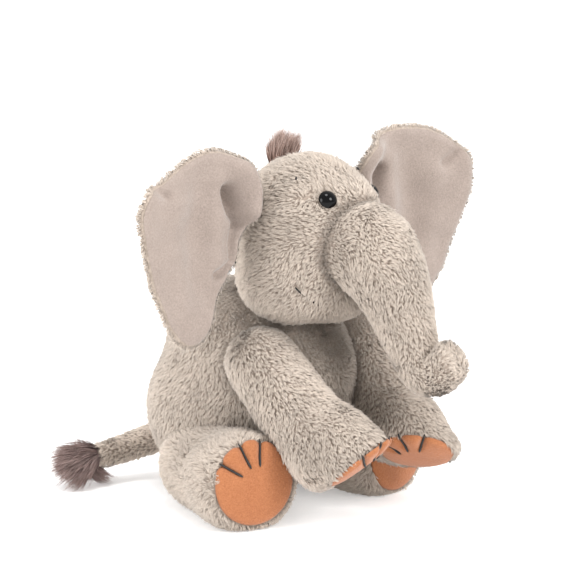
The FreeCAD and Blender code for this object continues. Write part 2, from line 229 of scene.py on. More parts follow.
def puff(obj, held, limit=1.6):
    """Fill a sewn skin with air pressure; held says where seams keep it in place."""
    rest = corners(obj)
    pins = obj.vertex_groups.new(name="seams")
    weights = np.clip(held(rest), 0, 1)
    for i in np.flatnonzero(weights > 0.01):
        pins.add([int(i)], float(weights[i]), "REPLACE")
    cloth = obj.modifiers.new("puff", "CLOTH")
    cloth.settings.quality = 5
    cloth.settings.mass = 0.2
    cloth.settings.tension_stiffness = 12
    cloth.settings.compression_stiffness = 12
    cloth.settings.bending_stiffness = 0.6
    cloth.settings.use_pressure = True
    cloth.settings.uniform_pressure_force = 4.0
    cloth.settings.effector_weights.gravity = 0
    cloth.settings.vertex_group_mass = pins.name
    scene = bpy.context.scene
    for number in range(1, 21):
        scene.frame_set(number)
    solved = obj.evaluated_get(bpy.context.evaluated_depsgraph_get())
    co = np.zeros(len(rest) * 3, np.float32)
    solved.data.vertices.foreach_get("co", co)
    moved = co.reshape(-1, 3) / MM - rest
    obj.modifiers.remove(cloth)
    obj.vertex_groups.clear()
    scene.frame_set(1)
    far = np.linalg.norm(moved, axis=1, keepdims=True)
    moved *= np.minimum(1, limit / np.maximum(far, 1e-6))
    moved[~np.isfinite(moved).all(1)] = 0
    points = rest + moved
    points[:, 2] = np.maximum(points[:, 2], FLOOR_CLEAR)
    set_corners(obj, points)


def refine(obj):
    bpy.context.view_layer.objects.active = obj
    smooth = obj.modifiers.new("smooth", "SUBSURF")
    smooth.levels = smooth.render_levels = 1
    dg = bpy.context.evaluated_depsgraph_get()
    mesh = bpy.data.meshes.new_from_object(obj.evaluated_get(dg))
    obj.modifiers.clear()
    obj.data = mesh
    points = corners(obj)
    points[:, 2] = np.maximum(points[:, 2], FLOOR_CLEAR)
    set_corners(obj, points)


# ---------------------------------------------------------------- materials
def linear(r, g, b):
    return tuple(((c / 255 + 0.055) / 1.055) ** 2.4 if c > 10 else c / 3295 for c in (r, g, b)) + (1,)


def start_material(name, roughness, sheen=0.0, specular=0.3):
    material = bpy.data.materials.new(name)
    material.use_nodes = True
    tree = material.node_tree
    shader = tree.nodes["Principled BSDF"]
    shader.inputs["Roughness"].default_value = roughness
    shader.inputs["Sheen Weight"].default_value = sheen
    shader.inputs["Sheen Roughness"].default_value = 0.5
    shader.inputs["Specular IOR Level"].default_value = specular
    return material, tree, shader


def ramp_node(tree, stops):
    ramp = tree.nodes.new("ShaderNodeValToRGB")
    elements = ramp.color_ramp.elements
    elements[0].position, elements[0].color = stops[0]
    elements[1].position, elements[1].color = stops[-1]
    for position, colour in stops[1:-1]:
        elements.new(position).color = colour
    return ramp


def cloth_material(name, dark, light, grain, bump, roughness=0.9, sheen=0.3, mottling=0.0):
    """Woven or brushed cloth: a fine grain and slow shading, from noise in the piece's own space."""
    material, tree, shader = start_material(name, roughness, sheen)
    new, link = tree.nodes.new, tree.links.new
    place = new("ShaderNodeTexCoord")
    fine = new("ShaderNodeTexNoise")
    fine.inputs["Scale"].default_value = 1000 / grain
    fine.inputs["Detail"].default_value = 3
    link(place.outputs["Object"], fine.inputs["Vector"])
    broad = new("ShaderNodeTexNoise")
    broad.inputs["Scale"].default_value = 90
    broad.inputs["Detail"].default_value = 2
    link(place.outputs["Object"], broad.inputs["Vector"])
    mix = new("ShaderNodeMath")
    mix.operation = "MULTIPLY_ADD"
    mix.inputs[1].default_value = mottling
    link(broad.outputs["Fac"], mix.inputs[0])
    link(fine.outputs["Fac"], mix.inputs[2])
    ramp = ramp_node(tree, [(0.3, dark), (0.7 + mottling, light)])
    link(mix.outputs["Value"], ramp.inputs["Fac"])
    link(ramp.outputs["Color"], shader.inputs["Base Color"])
    relief = new("ShaderNodeBump")
    relief.inputs["Strength"].default_value = bump
    relief.inputs["Distance"].default_value = 0.0006
    link(fine.outputs["Fac"], relief.inputs["Height"])
    link(relief.outputs["Normal"], shader.inputs["Normal"])
    return material


def strand_material(name, root, middle, tip, spread=0.45):
    """Pile: colour runs from root to tip along U, and each strand's shade is V: its own tone together with
    the painted shade and painted light that fur() puts there.
    """
    material, tree, shader = start_material(name, 0.75, 0.15, specular=0.2)
    new, link = tree.nodes.new, tree.links.new
    uv = new("ShaderNodeUVMap")
    uv.uv_map = "OFBake"
    split = new("ShaderNodeSeparateXYZ")
    link(uv.outputs["UV"], split.inputs["Vector"])
    ramp = ramp_node(tree, [(0.0, root), (0.45, middle), (1.0, tip)])
    link(split.outputs["X"], ramp.inputs["Fac"])
    shade = new("ShaderNodeMapRange")
    shade.inputs["To Min"].default_value = 1 - spread
    shade.inputs["To Max"].default_value = 1 + spread * 0.55
    link(split.outputs["Y"], shade.inputs["Value"])
    mix = new("ShaderNodeVectorMath")
    mix.operation = "SCALE"
    link(ramp.outputs["Color"], mix.inputs[0])
    link(shade.outputs["Result"], mix.inputs["Scale"])
    link(mix.outputs["Vector"], shader.inputs["Base Color"])
    return material


def plain_material(name, colour, roughness, grain=0.4, specular=0.5):
    """Moulded plastic or thread, with a slight change of shade."""
    material, tree, shader = start_material(name, roughness, specular=specular)
    noise = tree.nodes.new("ShaderNodeTexNoise")
    noise.inputs["Scale"].default_value = 1000 / grain
    place = tree.nodes.new("ShaderNodeTexCoord")
    tree.links.new(place.outputs["Object"], noise.inputs["Vector"])
    darker = tuple(c * 0.8 for c in colour[:3]) + (1,)
    ramp = ramp_node(tree, [(0.3, darker), (0.7, colour)])
    tree.links.new(noise.outputs["Fac"], ramp.inputs["Fac"])
    tree.links.new(ramp.outputs["Color"], shader.inputs["Base Color"])
    return material


PLUSH_SKIN = cloth_material("plush_backing", linear(150, 136, 124), linear(178, 163, 150), 1.5, 0.5)
PLUSH = strand_material("plush_pile", linear(150, 136, 124), linear(194, 179, 165),
                        linear(218, 205, 192))
TUFT = strand_material("long_pile", linear(116, 92, 84), linear(172, 144, 133),
                       linear(204, 182, 172))
TAIL_TUFT = strand_material("tail_pile", linear(84, 68, 65), linear(134, 112, 107),
                            linear(172, 150, 144))
EAR_VELOUR = cloth_material("ear_velour", linear(130, 117, 109), linear(160, 146, 137), 0.9, 0.5,
                            sheen=0.3, mottling=0.3)
ORANGE = cloth_material("orange_velour", linear(138, 82, 48), linear(176, 115, 76), 0.8, 0.7,
                        sheen=0.2, mottling=0.3)
THREAD = plain_material("black_thread", linear(30, 27, 26), 0.6, grain=0.3)
EYE = plain_material("eye_plastic", linear(9, 9, 10), 0.08, grain=4, specular=0.16)
WASHER = plain_material("washer_plastic", linear(225, 225, 222), 0.4, grain=4)
FIBRE = cloth_material("fibre_filling", linear(220, 220, 215), linear(245, 245, 240), 3, 0.6)
PELLET_CLOTH = cloth_material("pellet_cloth", linear(190, 190, 185), linear(215, 215, 210), 1, 0.3)
PELLETS = cloth_material("pellet_beads", linear(200, 205, 210), linear(235, 238, 240), 3, 0.8)



# ---------------------------------------------------------------- fur
STRANDS_PER_PIECE = 32000
ROUNDNESS = 0.35       # how far a strand's sides turn away from the skin's direction
STRAND_FACES = np.array([[2, 1, 0], [3, 2, 0], [1, 3, 0], [1, 2, 4], [2, 3, 4], [3, 1, 4]])


def scatter(obj, count, rng, keep):
    """Random places on a skin, denser where keep is larger, with normals."""
    obj.data.calc_loop_triangles()
    tris = np.zeros(len(obj.data.loop_triangles) * 3, np.int32)
    obj.data.loop_triangles.foreach_get("vertices", tris)
    tris = tris.reshape(-1, 3)
    points = corners(obj)
    normals = np.zeros(points.size, np.float32)
    obj.data.vertices.foreach_get("normal", normals)
    normals = normals.reshape(-1, 3)
    a, b, c = (points[tris[:, k]] for k in range(3))
    area = np.linalg.norm(np.cross(b - a, c - a), axis=1) / 2
    pick = rng.choice(len(tris), int(area.sum() * count), p=area / area.sum())
    u, v = rng.random((2, len(pick)))
    over = u + v > 1
    u[over], v[over] = 1 - u[over], 1 - v[over]
    w = np.stack([1 - u - v, u, v], 1)[:, :, None]
    place = (points[tris[pick]] * w).sum(1)
    normal = unit((normals[tris[pick]] * w).sum(1))
    chosen = rng.random(len(place)) < keep(place, normal)
    return place[chosen], normal[chosen]


def fur(name, skin, flow, keep, attach, density=2.9, length=4.6, width=0.44, lock=1.7, lean=0.95,
        wild=0.45, material=PLUSH, seed=1, clump=0.5, shorten=None, press_and_painted_shade_near=(),
        painted_light_shift=0.0):
    """Strands on a skin, combed along a flow and gathered into locks; near given neighbour fields they are
    shortened and darkened with painted shade, and a per-piece shift lightens a piece with painted light
    where it is positive and darkens it with painted shade where it is negative.
    """
    rng = np.random.default_rng(seed)
    root, normal = scatter(skin, density, rng, keep)
    comb = flow(root) + wild * swirl(root, 24, seed * 7) + 0.5 * wild * swirl(root, 7, seed * 7 + 3)
    comb = unit(comb - dot(comb, normal)[:, None] * normal)
    jitter = rng.normal(size=root.shape) * lock * 0.18
    cell = np.floor((root + jitter + 0.5 * lock * swirl(root, 9, seed + 50)) / lock).astype(np.int64)
    key = (cell[:, 0] * 4001 + cell[:, 1]) * 4001 + cell[:, 2]
    _, lock_of, members = np.unique(key, return_inverse=True, return_counts=True)

    def mean(values):
        return np.stack([np.bincount(lock_of, values[:, k]) for k in range(3)], 1) / members[:, None]
    locks = len(members)
    lock_root = mean(root)
    lock_comb = unit(mean(comb) + 0.32 * rng.normal(size=(locks, 3)))
    lock_rise = rng.normal(size=locks) * 0.14
    size = length * (0.82 + 0.3 * rng.random(len(root)))
    if shorten is not None:
        size = size * shorten(root)
    # Near each given neighbour field the strands are shortened and darkened: painted shade in the creases
    # between parts and under the head, where its shadow falls.
    press_and_painted_shade = np.zeros(len(root))
    for field, shade_width in press_and_painted_shade_near:
        press_and_painted_shade = np.maximum(press_and_painted_shade, 1 - step_up(field(root), 0.2 * shade_width, shade_width))
    size *= 1 - 0.35 * press_and_painted_shade
    from_middle = root - lock_root[lock_of]
    off_middle = np.clip(np.linalg.norm(from_middle, axis=1) / lock, 0, 1)
    size *= 1 - 0.2 * off_middle
    rise = lean + lock_rise[lock_of] + 0.1 * rng.normal(size=len(root))
    along = 0.45 * comb + 0.55 * lock_comb[lock_of] + 0.14 * rng.normal(size=root.shape)
    along = unit(along - dot(along, normal)[:, None] * normal)
    first = np.cos(rise * 0.7)[:, None] * normal + np.sin(rise * 0.7)[:, None] * along
    last = np.cos(rise * 1.25)[:, None] * normal + np.sin(rise * 1.25)[:, None] * along
    half = root + first * (0.45 * size)[:, None]
    tip = half + last * (0.55 * size)[:, None]
    tip = tip + clump * (mean(tip)[lock_of] - tip)
    half = half + 0.4 * clump * (mean(half)[lock_of] - half)
    root = root - 0.6 * normal
    direction = unit(tip - root)
    across = unit(np.cross(normal, direction) + 0.2 * rng.normal(size=root.shape))
    across = unit(across - dot(across, direction)[:, None] * direction)
    upper = np.cross(direction, across)
    wide = (width * (0.75 + 0.5 * rng.random(len(root))))[:, None] / 2
    around = [across * math.cos(a) + upper * math.sin(a) for a in np.radians((90, 210, 330))]
    strand = np.stack([root, *(half + wide * side for side in around), tip], 1)
    strand[:, :, 2] = np.maximum(strand[:, :, 2], FLOOR_CLEAR)
    facing = np.stack([normal, *(normal + ROUNDNESS * side for side in around),
                       normal + 0.2 * direction], 1)
    facing = unit(facing + 0.5 * (off_middle / np.maximum(np.linalg.norm(from_middle, axis=1), 0.1)
                                  )[:, None, None] * from_middle[:, None])
    shade = 0.5 + 0.17 * (rng.random(locks)[lock_of] - 0.5) + 0.2 * (rng.random(len(root)) - 0.5)
    # Strands at a lock's edge are darker: painted shade in the gaps between locks. The ripple is the pile's
    # own slow change of tone.
    shade = shade + 0.06 * ripple(root, 30, seed + 9) - 0.17 * np.clip(off_middle - 0.3, 0, 1)
    # The piece's painted light shift is added (painted light where positive, painted shade where negative),
    # and painted shade near neighbour parts is taken away.
    shade = np.clip(shade + painted_light_shift - 0.5 * press_and_painted_shade, 0.02, 0.98)
    order = np.argsort(root[:, 2] // 12 * 1000 + root[:, 0], kind="stable")
    pieces = max(1, math.ceil(len(root) / STRANDS_PER_PIECE))
    for number, chosen in enumerate(np.array_split(order, pieces)):
        count = len(chosen)
        faces = (np.arange(count)[:, None, None] * 5 + STRAND_FACES).reshape(-1, 3)
        obj = make_object(f"{name}_{number}", strand[chosen].reshape(-1, 3), faces, material)
        obj.data.normals_split_custom_set_from_vertices(facing[chosen].reshape(-1, 3))
        coordinates = np.empty((count, 5, 2))
        coordinates[:, :, 0] = (0.01, 0.5, 0.5, 0.5, 0.99)
        coordinates[:, :, 1] = shade[chosen][:, None]
        layer = obj.data.uv_layers.new(name="OFBake")
        layer.data.foreach_set("uv", coordinates.reshape(-1, 2)[faces.ravel()].astype(np.float32).ravel())
        attach(obj)


def rides(body):
    return lambda obj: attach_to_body(obj, body)


def bends():
    """Keep a piece where it stands, with its transform applied to its mesh."""
    return lambda obj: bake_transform(obj)


# ---------------------------------------------------------------- the toy's forms
HEAD = row(0, -34, 150)
TRUNK = [(0, -58, 151, 18.5), (0, -67, 150.5, 22), (0, -77, 147, 23.4), (0, -87, 138, 20.8),
         (0, -96, 124, 17.4), (0, -103, 108, 14.2), (0, -109, 95, 11.8), (0, -115.5, 85.6, 10.8),
         (0, -124, 85.6, 10.2), (0, -131, 91.5, 10.0), (0, -136, 97, 10.0)]
TRUNK_END = (row(0, -134.5, 95.5), unit(row(0, -0.83, 0.56)))
TRUNK_SPLIT = row(0, -99, 117)
TAIL = [(-1, 54, 28, 8.2), (-7, 66, 25, 7.8), (-18, 74, 21.5, 7.2), (-32, 79, 18.5, 6.6),
        (-45, 82, 17, 6.0), (-53, 84, 16.5, 4.8)]
ARM_PIVOT = {s: row(k * 36, -36, 90) for s, k in SIDES.items()}
ARM_SOLE = {"left": row(21, -94.2, 33.8), "right": row(-30.3, -95.5, 37.5)}
LEG_PIVOT = {"left": row(46, 3, 23.4), "right": row(-41, 5, 23.4)}
LEG_HEADING = {"left": -2.0, "right": -25.0}
LEG_SHIFT = {"left": row(2.4, -2.8, -0.6), "right": row(1.3, -1.5, 0.6)}
LEG_SOLE = {s: LEG_PIVOT[s] + LEG_SHIFT[s] + 62 * row(math.sin(math.radians(LEG_HEADING[s])),
                                       -math.cos(math.radians(LEG_HEADING[s])), 0) for s in SIDES}
EYE_OFFSET = row(18.6, -29.0, 25.0)

torso_field = cut_flat(merged([ellipsoid((0, 11, 49.5), (55, 54, 49.5)),
                               ellipsoid((0, 3, 86), (48, 49, 38)),
                               ellipsoid((0, -13, 70), (43, 47, 40))], 10), (0, 0, 0.3), (0, 0, -1), 6)
head_field = merged([ellipsoid(HEAD + row(0, 0, 0.6), (40.5, 39.5, 44.6)),
                     ellipsoid((18.5, -36, 129.5), (24, 29, 23)),
                     ellipsoid((-18.5, -36, 129.5), (24, 29, 23)),
                     ellipsoid((2, -60, 170), (18, 13, 13)),
                     ellipsoid((0, -52, 120), (20, 17, 13))], 6)
trunk_field = merged([tube(TRUNK), ellipsoid((11, -67, 147), (13.5, 12, 17)),
                      ellipsoid((-11, -67, 147), (13.5, 12, 17))], 3)
tail_field = tube(TAIL)

# How far a sole is turned from the line of its limb.
SOLE_TILT = {("arm", "right"): row(0.14, 0.16, -0.12), ("arm", "left"): row(-0.36, 0.38, -0.22)}


def sole_direction(kind, side):
    """The way a sole faces: along its limb, but for a paw that hangs."""
    pivot, sole = ((ARM_PIVOT, ARM_SOLE) if kind == "arm" else (LEG_PIVOT, LEG_SOLE))
    return unit(unit(sole[side] - pivot[side]) + SOLE_TILT.get((kind, side), 0))


def limb_field(pivot, sole, root, end, facing, sag):
    """A limb that hangs by sag in its middle and ends flat where its sole faces."""
    direction = unit(sole - pivot)
    length = np.linalg.norm(sole - pivot)
    reach = pivot + direction * (length + 12)
    mid = pivot + direction * length * 0.58 + sag
    heel = sole - direction * 18 + 0.75 * sag
    body = merged([tube([(*(pivot + 0.6 * sag), root), (*mid, (root + end) / 2 - 0.4), (*reach, end)], 3),
                   ellipsoid(heel, (end - 1.5, end - 1.5, end - 1.5))], 8)
    return cut_flat(body, sole - facing * 0.8, facing, 7)


ARM_SAG = {"left": row(0, 1, -4), "right": row(-3.4, 3.8, -7)}
ARM_FIELD = {s: limb_field(ARM_PIVOT[s], ARM_SOLE[s], 18.4, 22.4, sole_direction("arm", s), ARM_SAG[s])
             for s in SIDES}
LEG_RAISE = row(0, 0, 2.2)
LEG_SAG = row(0, 0, -2.6)
LEG_FIELD = {s: cut_flat(limb_field(LEG_PIVOT[s] + LEG_RAISE, LEG_SOLE[s] + LEG_RAISE, 24.5, 25.4,
                                    sole_direction("leg", s), LEG_SAG), (0, 0, 0.3), (0, 0, -1), 4)
             for s in SIDES}


def outside(*fields, depth=3.0):
    """Strands are left out where a root is buried deeper than depth in a neighbour."""
    def keep(p, n):
        out = np.ones(len(p))
        for field in fields:
            out = out * (field(p) > -depth)
        return out
    return keep


def both(*keeps):
    """Strands stay only where every one of the keeps lets them."""
    def keep(p, n):
        out = np.ones(len(p))
        for each in keeps:
            out = out * each(p, n)
        return out
    return keep


def level_frame(direction):
    """Level axis, upward axis and the direction itself."""
    level = unit(np.cross((0, 0, 1), direction))
    return level, np.cross(direction, level), direction


def away_from_sole(sole, direction, radius):
    """Strands are left out where the velour pad lies."""
    def keep(p, n):
        along = (p - sole) @ direction
        from_axis = np.linalg.norm(p - sole - along[:, None] * direction, axis=1)
        return 1.0 - ((along > -3.5) & (from_axis < radius - 0.5))
    return keep


# ---------------------------------------------------------------- soft parts
def stuffed(name, field, low, high, nodes, attach, held=None, step=4.0):
    obj = surface(name, field, low, high, step, PLUSH_SKIN)
    if held is not None:
        puff(obj, held)
    refine(obj)
    attach(obj)
    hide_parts(*nodes)
    return obj


def seam_at(*planes, width=2.5):
    """Where the sewing holds a skin in: near any of the planes (point, normal)."""
    planes = [(row(*point), unit(row(*normal))) for point, normal in planes]

    def held(p):
        out = np.zeros(len(p))
        for point, normal in planes:
            out = np.maximum(out, 1 - np.abs((p - point) @ normal) / width)
        return np.clip(out + (p[:, 2] < 2.5), 0, 1)
    return held


FRONT_BACK = ((0, 0, 0), (1, 0, 0))

torso = stuffed("torso_plush", torso_field, (-66, -64, -4), (66, 72, 134),
                ["body_panel_left", "body_panel_right", "base_panel", "body_stuffing"], rides("torso"),
                held=seam_at(FRONT_BACK))
head = stuffed("head_plush", head_field, (-50, -84, 96), (50, 14, 202),
               ["face_panel_left", "face_panel_right", "head_back_panel", "head_stuffing"],
               rides("head"),
               held=seam_at(FRONT_BACK, ((0, -20, 0), (0, 1, 0))))

trunk_bend = bends()
tip_bend = bends()
split_normal = unit(row(0, -6, -14))
trunk = stuffed("trunk_plush", cut_flat(trunk_field, TRUNK_SPLIT + 2 * split_normal, split_normal, 1),
                (-34, -124, 96), (34, -24, 184), ["trunk_panel_left", "trunk_panel_right", "trunk_stuffing"],
                trunk_bend, held=seam_at(FRONT_BACK), step=3.0)
trunk_tip = stuffed("trunk_tip_plush",
                    cut_flat(cut_flat(trunk_field, TRUNK_SPLIT - 2 * split_normal, -split_normal, 1),
                             *TRUNK_END, 2),
                    (-22, -150, 68), (22, -82, 126),
                    ["trunk_tip_panel_left", "trunk_tip_panel_right", "trunk_tip_stuffing"],
                    tip_bend,
                    held=seam_at(FRONT_BACK), step=2.6)
tail_bend = bends()
tail = stuffed("tail_plush", tail_field, (-64, 44, 6), (12, 94, 44),
               ["tail_skin", "tail_stuffing"], tail_bend,
               held=None, step=2.0)

limbs = {}
for side in SIDES:
    for kind, pivots, soles, fields, root in (("arm", ARM_PIVOT, ARM_SOLE, ARM_FIELD, 26),
                                              ("leg", LEG_PIVOT, LEG_SOLE, LEG_FIELD, 30)):
        low = np.minimum(pivots[side], soles[side]) - root
        high = np.maximum(pivots[side], soles[side]) + root
        direction = unit(soles[side] - pivots[side])
        upward = level_frame(direction)[1]
        limbs[kind, side] = stuffed(
            f"{kind}_{side}_plush", fields[side], low, high,
            [f"{kind}_{side}_{part}" for part in ("panel_top", "panel_under", "stuffing")],
            rides(f"{kind}_{side}"),
            held=seam_at((pivots[side], upward), (soles[side], direction)),
            step=3.2)


# ---------------------------------------------------------------- soles and toe threads
def strand_tube(name, path, radius, attach, node=None, around=8):
    """A thread along a path."""
    path = np.asarray(path, float)
    tangent = unit(np.gradient(path, axis=0))
    side = unit(np.cross(tangent, (0.31, 0.52, 0.79)))
    other = np.cross(tangent, side)
    turn = np.arange(around) * 2 * math.pi / around
    ends = np.ones(len(path))
    ends[[0, -1]] = 0.35
    rings = (path[:, None] + radius * ends[:, None, None]
             * (np.cos(turn)[None, :, None] * side[:, None] + np.sin(turn)[None, :, None] * other[:, None]))
    count = len(path)
    i, j = np.meshgrid(np.arange(count - 1), np.arange(around), indexing="ij")
    k = (j + 1) % around
    faces = np.stack([i * around + j, i * around + k, (i + 1) * around + k, (i + 1) * around + j],
                     -1).reshape(-1, 4)
    obj = make_object(name, rings.reshape(-1, 3), faces, THREAD)
    attach(obj)
    if node:
        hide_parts(node)
    return obj


SOLE_RADIUS = {"arm": 20.6, "leg": 22.6}
SOLE_RAISE = {"arm": row(0, 0, 0), "leg": LEG_RAISE}
TOES = {"left": (-16.0, 22.0, 58.0), "right": (57.0, 21.0, -9.0)}


def sole_height(x, y, radius, toes):
    """Dome of a sole, drawn in along each toe's thread."""
    r = np.hypot(x, y) / radius
    dome = 3.6 * np.sqrt(np.clip(1 - r ** 2.6, 0, 1)) - 0.6
    for degrees in toes:
        angle = math.radians(degrees)
        ray = row(-math.sin(angle), math.cos(angle))
        off = np.abs(x * ray[1] - y * ray[0])
        along = x * ray[0] + y * ray[1]
        dome -= 2.2 * np.exp(-(off / 1.7) ** 2) * step_up(along, radius * 0.4, radius * 0.75)
    return dome


def sole_reach(turn, radius, toes):
    """Outline of a sole: the velour swells over the edge between the toe threads."""
    out = np.full_like(turn, radius)
    for degrees in toes:
        off = np.abs((turn - math.radians(90 + degrees) + math.pi) % (2 * math.pi) - math.pi)
        out += radius * (0.055 * np.exp(-(off / 0.45) ** 2) - 0.10 * np.exp(-(off / 0.10) ** 2))
    return out


def make_sole(kind, side, sole):
    """A closed velour pad, drawn in at each toe thread, and the threads themselves."""
    body = f"{kind}_{side}"
    radius = SOLE_RADIUS[kind]
    level, upward, direction = level_frame(sole_direction(kind, side))
    rings, around = 24, 120
    r = np.linspace(0, 1, rings + 1)[1:]
    turn = np.arange(around) * 2 * math.pi / around
    edge = sole_reach(turn, radius, TOES[side])
    x = np.concatenate([[0], np.outer(r, np.cos(turn) * edge).ravel()])
    y = np.concatenate([[0], np.outer(r, np.sin(turn) * edge).ravel()])
    share = radius * np.concatenate([[0], np.repeat(r, around)]) / np.maximum(np.hypot(x, y), 1e-6)
    z = sole_height(x * share, y * share, radius, TOES[side])
    points = sole + x[:, None] * level + y[:, None] * upward + z[:, None] * direction
    under = sole + x[:, None] * level + y[:, None] * upward - (1.8 + 0 * z)[:, None] * direction
    points[:, 2] = np.maximum(points[:, 2], FLOOR_CLEAR + 0.3)
    under[:, 2] = np.maximum(under[:, 2], FLOOR_CLEAR + 0.3)
    faces = []
    count = len(points)
    for j in range(around):
        k = (j + 1) % around
        faces.append((0, 1 + j, 1 + k, 1 + k))
        for i in range(rings - 1):
            a, b = 1 + i * around + j, 1 + i * around + k
            faces.append((a, a + around, b + around, b))
    faces = np.array(faces)
    last = 1 + (rings - 1) * around
    rim = np.array([(last + j, count + last + j, count + last + (j + 1) % around,
                     last + (j + 1) % around) for j in range(around)])
    everything = np.vstack([faces, faces[:, ::-1] + count, rim])
    tri = everything[:, 2] == everything[:, 3]
    tri_back = everything[:, 0] == everything[:, 1]
    quads = everything[~(tri | tri_back)]
    fans = np.vstack([everything[tri][:, :3], everything[tri_back][:, 1:]])
    split = np.vstack([quads[:, [0, 1, 2]], quads[:, [0, 2, 3]], fans])
    obj = make_object(f"{body}_sole_velour", np.vstack([points, under]), split, ORANGE)
    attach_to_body(obj, body)
    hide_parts(f"{body}_sole")
    for number, degrees in enumerate(TOES[side]):
        angle = math.radians(degrees)
        ray = row(-math.sin(angle), math.cos(angle))
        reach = np.linspace(radius * 0.45, radius + 1.6, 12)
        tx, ty = reach * ray[0], reach * ray[1]
        tz = sole_height(tx, ty, radius, TOES[side]) + 0.55
        tz[-3:] = tz[-4] + row(-0.2, -0.9, -2.2)
        path = sole + tx[:, None] * level + ty[:, None] * upward + tz[:, None] * direction
        strand_tube(f"{body}_toe_thread_{number}", path, 0.62, rides(body),
                    f"{body}_toe_stitches" if number == 0 else None)


for side in SIDES:
    make_sole("arm", side, ARM_SOLE[side])
    make_sole("leg", side, LEG_SOLE[side] + LEG_RAISE)


# ---------------------------------------------------------------- ears
EAR_OUTLINE = [(-1, 24), (4.5, 36.5), (13, 45), (26, 49.5), (41, 49), (56, 44.5), (69, 36.5),
               (79, 27), (82.5, 14.5), (79, 0), (69, -22), (57.5, -42), (47, -53.5), (37, -57.5),
               (28, -54), (22, -41), (18, -29), (14, -18), (8, -8), (6.5, 4), (5, 12)]
EAR_CENTRE = row(38, 4)
EAR_SWEEP = {"left": -14.0, "right": 10.0}
EAR_LEAN = 6.4
# The two ears differ: in width, and in how far the upper outer corner droops.
EAR_WIDTH = {"left": 1.06, "right": 0.945}
EAR_DROP = 4.6
EAR_DROOP = {"left": -1.5, "right": 7.5}


def ear_axes(side):
    """Middle of an ear's seam, and the ways out along the ear, forward and up the seam."""
    sign = SIDES[side]
    sweep, lean = math.radians(EAR_SWEEP[side]), math.radians(EAR_LEAN)
    seam = row(-sign * math.sin(lean), 0, math.cos(lean))
    outward = row(sign * math.cos(sweep), math.sin(sweep), 0)
    outward = unit(outward - seam * (outward @ seam))
    forward = np.cross(seam, outward) * (-1 if sign > 0 else 1)
    middle = row(sign * 42, -30, 156) - EAR_DROP * seam
    return middle, outward * EAR_WIDTH[side], forward, seam


def line_gap(x, z, a, b):
    """Distance from a line from a to b, in the flat of an ear."""
    a, b = row(*a), row(*b)
    ab = b - a
    t = np.clip(((x - a[0]) * ab[0] + (z - a[1]) * ab[1]) / (ab @ ab), 0, 1)
    return np.hypot(x - a[0] - t * ab[0], z - a[1] - t * ab[1])


def ear_height(x, z):
    """How far an ear stands forward: cupped, with a rolled inner top edge and valleys beside it."""
    cup = 6.5 * ((x - 36) / 42) ** 2 + 2.0 * ((z - 2) / 50) ** 2 - 3.0
    roll = np.minimum(line_gap(x, z, (6, 15), (5, 29)), line_gap(x, z, (5, 29), (14, 42)))
    valley = np.minimum(line_gap(x, z, (11, 11), (16, 17)), line_gap(x, z, (16, 17), (20, 28)))
    out = cup + 9.0 * np.exp(-(roll / 7.5) ** 2) - 10.0 * np.exp(-(valley / 3.6) ** 2)
    out -= 4.0 * np.exp(-(line_gap(x, z, (14, 8), (13, -8)) / 2.4) ** 2)
    out -= 5.0 * np.exp(-(line_gap(x, z, (16, -13), (23, -17)) / 2.8) ** 2)
    out += 3.0 * np.exp(-(line_gap(x, z, (29, 32), (25, -8)) / 6.0) ** 2)
    out -= 2.2 * np.exp(-(line_gap(x, z, (42, 24), (37, -22)) / 7.0) ** 2)
    out += 1.5 * np.exp(-(line_gap(x, z, (58, 18), (48, -30)) / 7.0) ** 2)
    out -= 3.0 * np.exp(-(line_gap(x, z, (72, 28), (64, 24)) / 3.0) ** 2)
    out += 1.2 * ripple(np.stack([x, 0 * x, z], 1), 28, 71)
    return out * step_up(x, -8, 6)


